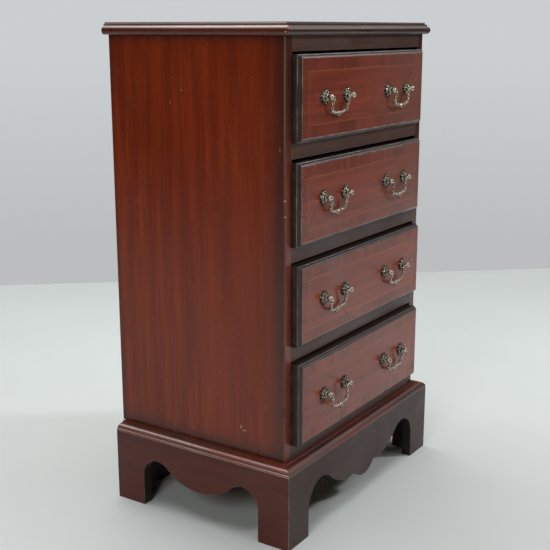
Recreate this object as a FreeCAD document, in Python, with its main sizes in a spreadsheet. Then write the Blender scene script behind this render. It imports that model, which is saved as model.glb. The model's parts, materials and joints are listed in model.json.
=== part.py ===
"""A small four-drawer mahogany chest on a bracket base, with swan-neck handles.

The chest stands on z = 0, its drawers face -Y and its width runs along X. The front of the
carcass lies in the plane y = front_plane, which centres the whole piece, handles included,
over the origin. All lengths are in millimetres.
"""
import FreeCAD, Part
import Sketcher
import math
import os
import re

# ---------------------------------------------------------------- driving dimensions

DIMENSIONS = {
    # carcass
    "front_plane": -144.1, "carcass_width": 423, "carcass_depth": 315,
    "carcass_floor": 128.5, "carcass_height": 613.5, "side_thick": 16.5,
    "back_thick": 6, "back_inset": 2, "floor_thick": 9,
    # rails between the drawers, and the runners behind them
    "rail_thick": 22, "rail_depth": 60, "top_rail_height": 21, "bottom_rail_depth": 22,
    "runner_width": 22, "runner_play": 1,
    # top board: two small steps over a half-round nosing
    "top_thick": 18, "top_overhang": 9.6, "top_back": 5, "nosing_height": 12,
    "nosing_in": 3.8, "nosing_radius": 6.64, "low_step_in": 4.5, "low_step_height": 15,
    "high_step_in": 7.3,
    # base: a bracket plinth under the mitred moulding frame that carries the carcass
    "plinth_out": 20.5, "plinth_thick": 17, "plinth_height": 117, "base_back_in": 3.5,
    "frame_thick": 11.5, "frame_width": 50, "fillet_height": 2.9, "ovolo_foot_in": 0.8,
    "ovolo_foot_height": 3.3, "ovolo_radius": 12.8, "ovolo_crown_in": 14,
    "ovolo_crown_height": 9.3, "flat_in": 15,
    "side_foot": 55, "side_arch_top": 82, "side_arch_radius": 29, "side_drop": 50,
    "front_foot": 56, "front_arch_top": 84, "front_arch_radius": 39.5,
    "lobe_place": 46, "lobe_drop": 48, "cusp_place": 31, "cusp_height": 49.2,
    "centre_drop": 35, "back_foot": 95, "back_arch_top": 62, "back_arch_radius": 24,
    "block_width": 26, "block_off_floor": 6,
    # drawer fronts: a flat field inside an ovolo and a bead
    "drawer_width": 387, "front_behind": 12, "field_out": 12, "field_in": 5,
    "front_ovolo_radius": 5, "quirk_in": 1.8, "quirk_out": 7.7, "bead_in": 1.3,
    "bead_out": 7.2, "bead_radius": 1.8, "lip_out": 5.5,
    # drawer boxes
    "drawer_side": 9, "drawer_back": 8, "drawer_length": 306.6, "side_below_top": 4,
    "panel_thick": 5, "panel_up": 6, "groove_deep": 4, "front_groove": 5, "drawer_play": 0.3,
    "lap": 7, "tail_half_neck": 7, "tail_half_tip": 9,
    # swan-neck handles
    "handle_place": 97, "post_spacing": 63, "pivot_out": 11, "ball_radius": 4.3,
    "neck_radius": 3, "neck_hollow": 4, "collar_radius": 4.2, "collar_out": 6.4,
    "shank_radius": 2.5, "shank_bore": 2.6, "shank_past": 5, "nut_radius": 6, "nut_thick": 3,
    "rosette_radius": 11, "rosette_rim": 1.2, "rim_crown_radius": 9, "rim_crown_out": 2.8,
    "rim_round": 2.2, "dish_radius": 7, "dish_out": 2.2, "dome_radius": 4.8, "dome_out": 4.4,
    "dome_hollow": 4, "dome_round": 1.2, "rosette_out": 5.2,
    "scallop_radius": 2, "scallop_place": 12.1, "wire_radius": 2, "pivot_fit": 0.08,
    "bail_half": 22, "bail_bend": 2.5, "bail_drop": 17, "bail_corner": 5,
    "bail_slope": 12.5, "bail_sag_radius": 25, "pin_end": 35.4, "knuckle_radius": 2.8,
    "boss_radius": 3.6, "finial_radius": 1.8, "finial_below": 3.9,
}

# Each drawer, counted from the top: the height of the ledge it runs on, the height of its
# front, how far it stands out of its closed place, how high its handles sit on the front, and
# how many degrees each bail leans back towards the front on its stiff old pins.
DRAWERS = {
    1: {"ledge": 597, "front_height": 120, "pulled": 0, "handle_up": 60,
        "lean_left": 15, "lean_right": 7},
    2: {"ledge": 450, "front_height": 120, "pulled": 0, "handle_up": 64,
        "lean_left": 14, "lean_right": 5},
    3: {"ledge": 303, "front_height": 120, "pulled": 2.5, "handle_up": 62,
        "lean_left": 15, "lean_right": 15},
    4: {"ledge": 150, "front_height": 126.5, "pulled": 4.5, "handle_up": 65,
        "lean_left": 0, "lean_right": 15},
}
for number, drawer in DRAWERS.items():
    DIMENSIONS.update({f"{word}_{number}": size for word, size in drawer.items()})

TAILS = 3
SCALLOPS = 10
FULL_TURN = 360
X_AXIS = FreeCAD.Vector(1, 0, 0)
Y_AXIS = FreeCAD.Vector(0, 1, 0)
Z_AXIS = FreeCAD.Vector(0, 0, 1)

doc = FreeCAD.newDocument("chest_of_drawers")
dims = doc.addObject("Spreadsheet::Sheet", "dims")
for row, (word, size) in enumerate(DIMENSIONS.items(), start=1):
    dims.set(f"A{row}", word.replace("_", " "))
    dims.set(f"B{row}", str(size))
    dims.setAlias(f"B{row}", word)
doc.recompute()

# ---------------------------------------------------------------- binding and placing

WORD = re.compile(r"[a-z][a-z_0-9]*")


def sized(text):
    """The expression for a size: each word that names a dimension points at its cell."""
    return WORD.sub(lambda found: f"dims.{found[0]}" if found[0] in DIMENSIONS else found[0],
                    text)


def value(text):
    """The number that a size has now."""
    return float(dims.evalExpression(sized(text)))


def bind(thing, **sizes):
    """Bind properties of a thing to sizes."""
    for name, text in sizes.items():
        thing.setExpression(name, sized(text))
    return thing


def place(thing, x="0", y="0", z="0", angle=0, axis=Z_AXIS):
    """Put a thing at a bound place, turned by an angle about an axis."""
    thing.Placement = FreeCAD.Placement(FreeCAD.Vector(), FreeCAD.Rotation(axis, angle))
    for coordinate, text in zip("xyz", (x, y, z)):
        thing.setExpression(f".Placement.Base.{coordinate}", sized(text))
    return thing


# ---------------------------------------------------------------- solids and groups

def board(label, size, corner):
    """A plain rectangular board, by its size and its lowest corner."""
    box = doc.addObject("Part::Box", label)
    bind(box, Length=size[0], Width=size[1], Height=size[2])
    return place(box, *corner)


def ball(label, radius, x="0", z="0"):
    """A ball on the plane y = 0."""
    return place(bind(doc.addObject("Part::Sphere", label), Radius=radius), x=x, z=z)


def rod(label, radius, length, axis=Z_AXIS, angle=0, **where):
    """A cylinder along Z, turned about an axis before it is placed."""
    cylinder = bind(doc.addObject("Part::Cylinder", label), Radius=radius, Height=length)
    return place(cylinder, angle=angle, axis=axis, **where)


def wedge(label, length, width, height, mitres):
    """A strip along X with its outer edge on y = 0, mitred at its start and end as told."""
    start, end = (width if mitre else "0" for mitre in mitres)
    return bind(doc.addObject("Part::Wedge", label), Xmin="0", Xmax=length, Ymin="0",
                Ymax=width, Zmin="0", Zmax=height, X2min=start, X2max=f"{length} - ({end})",
                Z2min="0", Z2max=height)


def group(label, pieces):
    """Several solids kept apart in one node."""
    compound = doc.addObject("Part::Compound", label)
    compound.Links = pieces
    return compound


def copy_of(master, label, x, y, z, lean="0"):
    """The master once more, at another place, leant back about X."""
    link = doc.addObject("App::Link", label)
    link.LinkedObject = master
    return place(link, x, y, z, angle=value(lean), axis=X_AXIS)


def joined(label, pieces):
    """Overlapping solids made into one."""
    fuse = doc.addObject("Part::MultiFuse", label)
    fuse.Shapes = pieces
    return fuse


def cut(label, base, tools):
    """A solid less its tools."""
    result = doc.addObject("Part::Cut", label)
    result.Base = base
    result.Tool = group(f"{label}_tools", tools) if len(tools) > 1 else tools[0]
    return result


def common(label, first, second):
    """What two solids share."""
    result = doc.addObject("Part::Common", label)
    result.Base = first
    result.Tool = second
    return result


# ---------------------------------------------------------------- outlines

def arc_centre(start, end, radius):
    """The centre of the short arc from start to end, which turns left if radius is positive."""
    half = (end - start) / 2
    aside = math.copysign(math.sqrt(radius ** 2 - half.Length ** 2), radius)
    return start + half + FreeCAD.Vector(-half.y, half.x, 0).normalize() * aside


def stretch(sketch, start, end, radius_text=None):
    """A line or an arc between two points, as (edge, its end at start, its end at end)."""
    if radius_text is None:
        return sketch.addGeometry(Part.LineSegment(start, end)), 1, 2
    radius = value(radius_text)
    centre = arc_centre(start, end, radius)
    left = radius > 0
    angles = [math.atan2(p.y - centre.y, p.x - centre.x)
              for p in ((start, end) if left else (end, start))]
    circle = Part.Circle(centre, Z_AXIS, abs(radius))
    edge = sketch.addGeometry(Part.ArcOfCircle(circle, *angles))
    fix(sketch, f"abs({radius_text})", "Radius", edge)
    return (edge, 1, 2) if left else (edge, 2, 1)


def fix(sketch, text, kind, *geometry):
    """A bound constraint."""
    place_in_list = sketch.addConstraint(Sketcher.Constraint(kind, *geometry, value(text)))
    sketch.setExpression(f"Constraints[{place_in_list}]", sized(text))


def fix_point(sketch, edge, end, across, up):
    """Hold one point of an edge at a bound place."""
    fix(sketch, across, "DistanceX", -1, 1, edge, end)
    fix(sketch, up, "DistanceY", -1, 1, edge, end)


def circle_at(sketch, radius, across, up):
    """A bound circle."""
    centre = FreeCAD.Vector(value(across), value(up), 0)
    edge = sketch.addGeometry(Part.Circle(centre, Z_AXIS, value(radius)))
    fix(sketch, radius, "Radius", edge)
    fix_point(sketch, edge, 3, across, up)


def draw(sketch, corners, closed=True):
    """Draw an outline through corners, each (across, up) or (across, up, radius).

    A radius makes the stretch that arrives at its corner an arc, which turns left where the
    radius is positive and right where it is negative.
    """
    points = [FreeCAD.Vector(value(corner[0]), value(corner[1]), 0) for corner in corners]
    following = points[1:] + points[:1]
    arriving = corners[1:] + corners[:1]
    stretches = [stretch(sketch, start, end, *corner[2:])
                 for start, end, corner in zip(points, following, arriving)
                 if closed or end is not points[0]]
    for (edge, start, _), corner in zip(stretches, corners):
        fix_point(sketch, edge, start, *corner[:2])
    onward = stretches[1:] + stretches[:1] if closed else stretches[1:]
    for (edge, _, end), (next_edge, start, _) in zip(stretches, onward):
        sketch.addConstraint(Sketcher.Constraint("Coincident", edge, end, next_edge, start))
    if not closed:
        edge, _, end = stretches[-1]
        fix_point(sketch, edge, end, *corners[-1][:2])


def mirrored(half):
    """A whole outline from its right half, which is listed from the bottom up.

    A twin's arc turns the same way, and belongs to the corner at the other end of its
    stretch. The first corner may lie on the middle line, and then it has no twin.
    """
    arcs = [corner[2:] for corner in half[1:]] + [()]
    twins = [(f"-({corner[0]})", corner[1], *arc) for corner, arc in zip(half, arcs)]
    if half[0][0] == "0":
        return [(*half[0], *arcs[0])] + half[1:] + twins[:0:-1]
    return half + twins[::-1]


def facing_right(edge, outer):
    """An edge listed upwards as (inset, height, radius), with its outside on the right."""
    return [(f"{outer} - ({inset})", *rest) for inset, *rest in edge]


def facing_left(edge):
    """The same edge with its outside on the left, at zero."""
    return [(inset, up, *(f"-({radius})" for radius in radii)) for inset, up, *radii in edge]


# ---------------------------------------------------------------- bodies

def origin_feature(body, role):
    return next(feature for feature in body.Origin.OriginFeatures if feature.Role == role)


def sketch_on(body, plane, label):
    """An empty sketch on one of the body's own origin planes."""
    sketch = body.newObject("Sketcher::SketchObject", label)
    sketch.AttachmentSupport = [(origin_feature(body, plane), "")]
    sketch.MapMode = "FlatFace"
    return sketch


def padded(label, plane, corners, length, backwards=False):
    """An outline padded to a length."""
    body = doc.addObject("PartDesign::Body", label)
    pad = body.newObject("PartDesign::Pad", f"{label}_pad")
    pad.Profile = sketch_on(body, plane, f"{label}_outline")
    draw(pad.Profile[0], corners)
    pad.Reversed = backwards
    bind(pad, Length=length)
    return body


def turned(label, corners):
    """A body turned about its own Y axis, its profile listed as (radius, place along Y)."""
    body = doc.addObject("PartDesign::Body", label)
    turning = body.newObject("PartDesign::Revolution", f"{label}_turning")
    profile = sketch_on(body, "XY_Plane", f"{label}_profile")
    draw(profile, corners)
    turning.Profile = profile
    turning.ReferenceAxis = (profile, ["V_Axis"])
    turning.Angle = FULL_TURN
    return body


# ---------------------------------------------------------------- carcass

INSIDE = "(carcass_width / 2 - side_thick)"
INSIDE_WIDTH = "(carcass_width - 2 * side_thick)"
CARCASS_TOP = "(carcass_floor + carcass_height)"
BACK_PLANE = "(front_plane + carcass_depth - back_inset - back_thick)"


def side_panels():
    size = ("side_thick", "carcass_depth", "carcass_height")
    return [board("side_panel_left", size, ("-carcass_width / 2", "front_plane", "carcass_floor")),
            board("side_panel_right", size, (INSIDE, "front_plane", "carcass_floor"))]


def back_and_floor():
    floor_front = "front_plane + bottom_rail_depth"
    return [
        board("back_panel", (INSIDE_WIDTH, "back_thick", "carcass_height"),
              (f"-{INSIDE}", BACK_PLANE, "carcass_floor")),
        board("bottom_board", (INSIDE_WIDTH, f"{BACK_PLANE} - ({floor_front})", "floor_thick"),
              (f"-{INSIDE}", floor_front, "ledge_4 - floor_thick")),
    ]


def front_rails():
    """The rail under the top, one under each of the first three drawers, and the lowest."""
    rails = [
        board("top_rail", (INSIDE_WIDTH, "rail_depth", "top_rail_height"),
              (f"-{INSIDE}", "front_plane", f"{CARCASS_TOP} - top_rail_height")),
        board("bottom_rail", (INSIDE_WIDTH, "bottom_rail_depth", "ledge_4 - carcass_floor"),
              (f"-{INSIDE}", "front_plane", "carcass_floor")),
    ]
    for n in (1, 2, 3):
        rails.append(board(f"divider_rail_{n}", (INSIDE_WIDTH, "rail_depth", "rail_thick"),
                           (f"-{INSIDE}", "front_plane", f"ledge_{n} - rail_thick")))
    return rails


def drawer_runners():
    """A pair of runners behind each divider rail, which stop short of the back panel."""
    front = "(front_plane + rail_depth)"
    size = ("runner_width", f"{BACK_PLANE} - {front} - runner_play", "rail_thick")
    pieces = [
        board(f"runner_{n}_{side}", size, (x, front, f"ledge_{n} - rail_thick"))
        for n in (1, 2, 3)
        for side, x in (("left", f"-{INSIDE}"), ("right", f"{INSIDE} - runner_width"))
    ]
    return [group("drawer_runners", pieces)]


def top_board():
    """The top board, whose moulded edge runs round the front and both ends with mitres."""
    edge = [
        ("nosing_in", "0"),
        ("nosing_in", "nosing_height", "nosing_radius"),
        ("low_step_in", "nosing_height"),
        ("low_step_in", "low_step_height"),
        ("high_step_in", "low_step_height"),
        ("high_step_in", "top_thick"),
    ]
    width = "(carcass_width + 2 * top_overhang)"
    depth = "(carcass_depth + top_overhang + top_back)"
    across = padded("top_across", "XZ_Plane", mirrored(facing_right(edge, f"{width} / 2")),
                    depth, backwards=True)
    along = facing_left(edge) + [(depth, "top_thick"), (depth, "0")]
    along = place(padded("top_along", "YZ_Plane", along, width), x=f"-{width} / 2")
    return [place(common("top_board", across, along), y="front_plane - top_overhang",
                  z=CARCASS_TOP)]


# ---------------------------------------------------------------- base

BASE_WIDTH = "(carcass_width + 2 * plinth_out)"
BASE_DEPTH = "(carcass_depth + plinth_out - base_back_in)"
BASE_FRONT = "(front_plane - plinth_out)"
BASE_BACK = f"({BASE_FRONT} + {BASE_DEPTH})"

# The base is built of strips, each drawn along X with its outside on y = 0. Here is each
# run's length, the ends that are mitred, and how it is laid.
RUNS = {
    "front": (BASE_WIDTH, (True, True), {"x": f"-{BASE_WIDTH} / 2", "y": BASE_FRONT}),
    "left": (BASE_DEPTH, (False, True),
             {"x": f"-{BASE_WIDTH} / 2", "y": BASE_BACK, "angle": -90}),
    "right": (BASE_DEPTH, (True, False),
              {"x": f"{BASE_WIDTH} / 2", "y": BASE_FRONT, "angle": 90}),
}


def base_frame():
    """The frame under the carcass: its moulded edge is a fillet, an ovolo and a flat."""
    section = facing_left([
        ("0", "0"),
        ("0", "fillet_height"),
        ("ovolo_foot_in", "ovolo_foot_height"),
        ("ovolo_crown_in", "ovolo_crown_height", "ovolo_radius"),
        ("flat_in", "ovolo_crown_height"),
        ("flat_in", "frame_thick"),
    ]) + [("frame_width", "frame_thick"), ("frame_width", "0")]
    strips = []
    for side, (length, mitres, laid) in RUNS.items():
        strip = padded(f"frame_strip_{side}", "YZ_Plane", section, length)
        plan = wedge(f"frame_plan_{side}", length, "frame_width", "frame_thick", mitres)
        strips.append(place(common(f"base_moulding_{side}", strip, plan),
                            z="plinth_height", **laid))
    between = f"({BASE_WIDTH} - 2 * frame_width)"
    strips.append(board("base_back_rail", (between, "frame_width", "frame_thick"),
                        (f"-{between} / 2", f"{BASE_BACK} - frame_width", "plinth_height")))
    return strips


def bracket(half_length, foot, arch_top, arch_radius, belly_place, belly_drop):
    """The right half of a bracket board, from the belly of its apron round to its top.

    A round arch rises from the foot and runs on into the belly, a wide arc that hangs down to
    belly_drop at belly_place. The belly's radius is the one that lets the two arcs touch.
    """
    arch_across = f"({half_length} - {foot} - {arch_radius})"
    arch_up = f"({arch_top} - {arch_radius})"
    span = f"({arch_across} - {belly_place})"
    rise = f"({belly_drop} - {arch_up})"
    belly = f"(({span} ^ 2 + {rise} ^ 2 - {arch_radius} ^ 2) / (2 * ({arch_radius} - {rise})))"
    share = f"{belly} / ({belly} + {arch_radius})"
    touch_across = f"{belly_place} + {span} * {share}"
    touch_up = f"{belly_drop} + {belly} - ({belly} + {rise}) * {share}"
    return [
        (touch_across, touch_up, belly),
        (f"{half_length} - {foot}", arch_up, f"-{arch_radius}"),
        (f"{half_length} - {foot}", "0"),
        (half_length, "0"),
        (half_length, "plinth_height"),
    ]


def front_outline():
    """The front apron: a bracket at each end, and between them a round drop and two cusps."""
    rise = "(cusp_height - centre_drop)"
    drop_radius = f"((cusp_place ^ 2 + {rise} ^ 2) / (2 * {rise}))"
    return mirrored([("0", "centre_drop"), ("cusp_place", "cusp_height", drop_radius)]
                    + bracket(f"{BASE_WIDTH} / 2", "front_foot", "front_arch_top",
                              "front_arch_radius", "lobe_place", "lobe_drop"))


def side_outline():
    return mirrored([("0", "side_drop")] + bracket(f"{BASE_DEPTH} / 2", "side_foot",
                    "side_arch_top", "side_arch_radius", "0", "side_drop"))


def back_outline(half):
    """The plain board at the back: a straight rail between two feet."""
    inner = f"({half} - back_foot)"
    return mirrored([
        ("0", "back_arch_top"),
        (f"{inner} - back_arch_radius", "back_arch_top"),
        (inner, "back_arch_top - back_arch_radius", "-back_arch_radius"),
        (inner, "0"),
        (half, "0"),
        (half, "plinth_height"),
    ])


def plinth():
    boards = []
    for side, (length, mitres, laid) in RUNS.items():
        outline = front_outline() if side == "front" else side_outline()
        face = padded(f"plinth_face_{side}", "XZ_Plane", outline, "plinth_thick", backwards=True)
        place(face, x=f"{length} / 2")
        plan = wedge(f"plinth_plan_{side}", length, "plinth_thick", "plinth_height", mitres)
        boards.append(place(common(f"plinth_{side}", face, plan), **laid))
    outline = back_outline(f"({BASE_WIDTH} / 2 - plinth_thick)")
    back = padded("plinth_back", "XZ_Plane", outline, "plinth_thick")
    return boards + [place(back, y=BASE_BACK)]


def glue_blocks():
    """A square block in each corner of the plinth, clear of the floor."""
    size = ("block_width", "block_width", "plinth_height - block_off_floor")
    across = f"({BASE_WIDTH} / 2 - plinth_thick)"
    front = f"{BASE_FRONT} + plinth_thick"
    back = f"{BASE_BACK} - plinth_thick - block_width"
    pieces = [
        board(f"glue_block_{end}_{side}", size, (x, y, "block_off_floor"))
        for end, y in (("front", front), ("back", back))
        for side, x in (("left", f"-{across}"), ("right", f"{across} - block_width"))
    ]
    return [group("glue_blocks", pieces)]


# ---------------------------------------------------------------- handle pieces

def rosette():
    """A round back plate, dished inside a scalloped rim and domed in the middle."""
    body = turned("rosette", [
        ("shank_bore", "0"),
        ("rosette_radius", "0"),
        ("rosette_radius", "-rosette_rim"),
        ("rim_crown_radius", "-rim_crown_out", "-rim_round"),
        ("dish_radius", "-dish_out"),
        ("dome_radius", "-dome_out", "dome_hollow"),
        ("collar_radius", "-rosette_out", "-dome_round"),
        ("shank_bore", "-rosette_out"),
    ])
    notch = body.newObject("PartDesign::Pocket", "rosette_notch")
    outline = sketch_on(body, "XZ_Plane", "rosette_notch_outline")
    circle_at(outline, "scallop_radius", "scallop_place", "0")
    notch.Profile = outline
    notch.SideType = "Symmetric"
    bind(notch, Length="4 * rosette_out")
    around = body.newObject("PartDesign::PolarPattern", "rosette_scallops")
    around.Originals = [notch]
    around.Axis = (origin_feature(body, "Y_Axis"), [""])
    around.Angle = FULL_TURN
    around.Occurrences = SCALLOPS
    body.Tip = around
    return body


def handle_post():
    """A post: a shank through the drawer front, a collar, a waist and a bored ball."""
    shank_end = "field_out + front_behind + shank_past"
    body = turned("post_turning", [
        ("0", shank_end),
        ("0", "-pivot_out - ball_radius"),
        ("neck_radius", "sqrt(ball_radius ^ 2 - neck_radius ^ 2) - pivot_out", "ball_radius"),
        ("collar_radius", "-collar_out", "-neck_hollow"),
        ("collar_radius", "-rosette_out"),
        ("shank_radius", "-rosette_out"),
        ("shank_radius", shank_end),
    ])
    bore = rod("post_bore", "wire_radius + pivot_fit", "4 * ball_radius",
               axis=Y_AXIS, angle=90, x="-2 * ball_radius", y="-pivot_out")
    return cut("handle_post", body, [bore])


def handle_nut():
    """A hexagon nut, its bore along Y and its front face on y = 0."""
    blank = bind(doc.addObject("Part::Prism", "nut_blank"),
                 Circumradius="nut_radius", Height="nut_thick")
    blank.Polygon = 6
    place(blank, axis=X_AXIS, angle=-90)
    bore = rod("nut_bore", "shank_bore", "3 * nut_thick", axis=X_AXIS, angle=-90,
               y="-nut_thick")
    return cut("handle_nut", blank, [bore])


# The bail hangs in the plane y = 0 from its pins, which lie along X at z = 0.
CORNER_IN = "(bail_half - bail_corner + bail_corner * sin(bail_slope))"
CORNER_DOWN = "(bail_drop + bail_corner * cos(bail_slope))"
SAG_IN = "(bail_sag_radius * sin(bail_slope))"
SAG_DOWN = f"({CORNER_DOWN} + ({CORNER_IN} - {SAG_IN}) * tan(bail_slope))"
BAIL_DOWN = f"({SAG_DOWN} + bail_sag_radius * (1 - cos(bail_slope)))"


def bail_wire():
    """The bent wire: pins, arms, and a bottom that sags to the middle."""
    right = [
        (SAG_IN, f"-{SAG_DOWN}", "bail_sag_radius"),
        (CORNER_IN, f"-{CORNER_DOWN}"),
        ("bail_half", "-bail_drop", "bail_corner"),
        ("bail_half", "-bail_bend"),
        ("bail_half + bail_bend", "0", "-bail_bend"),
        ("pin_end", "0"),
    ]
    body = doc.addObject("PartDesign::Body", "bail_wire")
    sweep = body.newObject("PartDesign::AdditivePipe", "bail_sweep")
    path = sketch_on(body, "XZ_Plane", "bail_path")
    draw(path, mirrored(right)[len(right):] + right, closed=False)
    section = sketch_on(body, "YZ_Plane", "bail_section")
    section.setExpression(".AttachmentOffset.Base.z", sized("-pin_end"))
    circle_at(section, "wire_radius", "0", "0")
    sweep.Profile = section
    sweep.Spine = path
    return body


def handle_bail():
    """The whole bail: its wire, a knuckle at each corner and a boss with a finial."""
    knuckle_in = "(bail_half - bail_corner / 4)"
    knuckle_down = "-bail_drop - bail_corner / 2"
    return joined("handle_bail", [
        bail_wire(),
        ball("knuckle_right", "knuckle_radius", knuckle_in, knuckle_down),
        ball("knuckle_left", "knuckle_radius", f"-{knuckle_in}", knuckle_down),
        ball("boss", "boss_radius", z=f"-{BAIL_DOWN}"),
        ball("finial", "finial_radius", z=f"-{BAIL_DOWN} - finial_below"),
    ])


# ---------------------------------------------------------------- drawers

PANEL_TOP = "(panel_up + panel_thick)"
BOX_REAR = "(drawer_length - drawer_back)"
BEHIND_FIELD = "(field_out + front_behind)"


def front_section(width):
    """A drawer front cut across: the field, then the ovolo, quirk and bead at each edge."""
    return mirrored([
        (f"{width} / 2 - field_in", "-field_out"),
        (f"{width} / 2 - quirk_in", "-quirk_out", "front_ovolo_radius"),
        (f"{width} / 2 - quirk_in", "-bead_out"),
        (f"{width} / 2 - bead_in", "-bead_out"),
        (f"{width} / 2", "-lip_out", "bead_radius"),
        (f"{width} / 2", "front_behind"),
    ])


def tails(root, tip, low, high):
    """A row of dovetails from root out to tip, listed from low to high."""
    pitch = f"(({high}) - ({low})) / {TAILS}"
    corners = []
    for i in range(TAILS):
        middle = f"{low} + {pitch} * {i + 0.5}"
        corners += [
            (root, f"{middle} - tail_half_neck"),
            (tip, f"{middle} - tail_half_tip"),
            (tip, f"{middle} + tail_half_tip"),
            (root, f"{middle} + tail_half_neck"),
        ]
    return corners


def box_side(label, height, x, face, floor):
    """A drawer side, with half-blind dovetails in front and through dovetails behind."""
    outline = [("front_behind", "0"), (BOX_REAR, "0")]
    outline += tails(BOX_REAR, "drawer_length", PANEL_TOP, height)
    outline += [(BOX_REAR, height), ("front_behind", height)]
    outline += reversed(tails("front_behind", "front_behind - lap", "0", height))
    return place(padded(label, "YZ_Plane", outline, "drawer_side"), x=x, y=face, z=floor)


def build_drawer(n, hardware):
    """One drawer: its box, its moulded front and the fixed pieces of its handles."""
    face = f"(front_plane - pulled_{n})"
    floor = f"(ledge_{n} + drawer_play)"
    height = f"front_height_{n}"
    side_height = f"({height} - side_below_top)"
    half = "(drawer_width / 2)"

    panel_half = f"({half} - drawer_side + groove_deep)"
    panel_front = "(front_behind - front_groove)"
    panel = board(f"drawer_{n}_bottom",
                  (f"2 * {panel_half}", f"drawer_length - {panel_front}", "panel_thick"),
                  (f"-{panel_half}", f"{face} + {panel_front}", f"{floor} + panel_up"))
    blanks = [
        box_side(f"side_blank_{n}_{side}", side_height, x, face, floor)
        for side, x in (("left", f"-{half}"), ("right", f"{half} - drawer_side"))
    ]
    sides = [cut(f"drawer_{n}_side_{side}", blank, [panel])
             for side, blank in zip(("left", "right"), blanks)]
    back = board(f"back_blank_{n}",
                 ("drawer_width", "drawer_back", f"{side_height} - {PANEL_TOP}"),
                 (f"-{half}", f"{face} + {BOX_REAR}", f"{floor} + {PANEL_TOP}"))
    back = cut(f"drawer_{n}_back", back, blanks)

    plan = padded(f"front_plan_{n}", "XY_Plane", front_section("drawer_width"), height)
    place(plan, y=face, z=floor)
    upright = padded(f"front_upright_{n}", "XY_Plane", front_section(height), "drawer_width")
    place(upright, x=half, y=face, z=f"{floor} + {height} / 2", angle=-90, axis=Y_AXIS)
    blank = common(f"front_blank_{n}", plan, upright)
    posts = [(f"{side * 2 + end}", f"{2 * side - 1} * handle_place + {end - 0.5} * post_spacing")
             for side in (0, 1) for end in (0, 1)]
    field = f"({face} - field_out)"
    up = f"{floor} + handle_up_{n}"
    bores = [rod(f"shank_bore_{n}_{i}", "shank_bore", BEHIND_FIELD, axis=X_AXIS, angle=-90,
                 x=x, y=field, z=up) for i, x in posts]
    front = cut(f"drawer_{n}_front", blank, blanks + [panel] + bores)

    fixed = []
    for name, word, y in (("rosettes", "rosette", field), ("handle_posts", "handle_post", field),
                          ("handle_nuts", "handle_nut", f"{field} + {BEHIND_FIELD}")):
        fixed.append(group(f"{name}_{n}", [
            copy_of(hardware[word], f"{word}_{n}_{i}", x, y, up) for i, x in posts]))
    bails = [
        group(f"bail_{n}_{side}", [copy_of(hardware["handle_bail"], f"bail_copy_{n}_{side}", x,
                                           f"{field} - pivot_out", up, f"lean_{side}_{n}")])
        for side, x in (("left", "-handle_place"), ("right", "handle_place"))
    ]
    return [front, *sides, back, panel] + fixed + bails


# ---------------------------------------------------------------- build, check and export

def build():
    nodes = side_panels() + back_and_floor() + front_rails() + drawer_runners() + top_board()
    nodes += base_frame() + plinth() + glue_blocks()
    hardware = {piece.Label: piece
                for piece in (rosette(), handle_post(), handle_nut(), handle_bail())}
    for n in DRAWERS:
        nodes += build_drawer(n, hardware)
    return nodes


def check(nodes):
    """Stop before anything is written if an object or a node's shape is unsound."""
    broken = [thing.Label for thing in doc.Objects
              if "Invalid" in thing.State or "Error" in thing.State]
    broken += [node.Label for node in nodes
               if node.Shape.isNull() or not node.Shape.isValid() or not node.Shape.Solids]
    if broken:
        raise RuntimeError(f"unsound: {', '.join(broken)}")


def export(nodes):
    os.makedirs("parts", exist_ok=True)
    for node in nodes:
        node.Shape.exportStep(f"parts/{node.Label}.step")


parts = build()
doc.recompute()
check(parts)
export(parts)
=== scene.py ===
"""The looks of the small mahogany chest of drawers.

The CAD nodes keep their shapes and get procedural wood and brass. The cast brass of the
handles is modelled here in full and stands for the plain CAD rosettes, posts and bails.
Lengths are in metres, in the frame of the CAD: +Z up, drawers facing -Y.
"""
import json
import math

import bpy
import numpy as np
from mathutils import Matrix, Vector


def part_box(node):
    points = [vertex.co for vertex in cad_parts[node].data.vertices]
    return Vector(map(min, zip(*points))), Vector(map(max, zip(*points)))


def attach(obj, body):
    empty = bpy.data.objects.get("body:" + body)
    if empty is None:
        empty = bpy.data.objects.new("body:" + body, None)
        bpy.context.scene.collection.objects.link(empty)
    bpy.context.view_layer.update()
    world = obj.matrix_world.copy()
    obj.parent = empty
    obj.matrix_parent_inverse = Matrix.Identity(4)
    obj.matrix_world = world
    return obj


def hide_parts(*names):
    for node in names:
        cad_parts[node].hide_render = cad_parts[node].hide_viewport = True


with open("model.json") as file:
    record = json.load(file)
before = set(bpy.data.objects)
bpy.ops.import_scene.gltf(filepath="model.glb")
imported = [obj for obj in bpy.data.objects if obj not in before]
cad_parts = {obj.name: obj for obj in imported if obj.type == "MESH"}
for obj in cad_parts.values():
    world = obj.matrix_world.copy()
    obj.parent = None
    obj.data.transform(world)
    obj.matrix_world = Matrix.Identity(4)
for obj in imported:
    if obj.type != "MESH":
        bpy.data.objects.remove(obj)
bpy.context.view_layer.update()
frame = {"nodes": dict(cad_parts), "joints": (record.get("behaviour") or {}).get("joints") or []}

MM = 0.001
DRAWERS = (1, 2, 3, 4)

# The faces that marks are placed from: the rails' front, the left side, the plinth's front and
# top, and the top of the chest.
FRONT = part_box("top_rail")[0].y
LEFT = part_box("side_panel_left")[0].x
PLINTH_FRONT_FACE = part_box("plinth_front")[0].y
PLINTH_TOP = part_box("plinth_front")[1].z
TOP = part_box("top_board")[1].z


# ---------------------------------------------------------------- shader building

def srgb(red, green, blue):
    """A display colour, 0 to 255, as the linear colour that shaders use."""
    def linear(channel):
        share = channel / 255
        return share / 12.92 if share <= 0.04045 else ((share + 0.055) / 1.055) ** 2.4
    return (linear(red), linear(green), linear(blue), 1.0)


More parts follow.
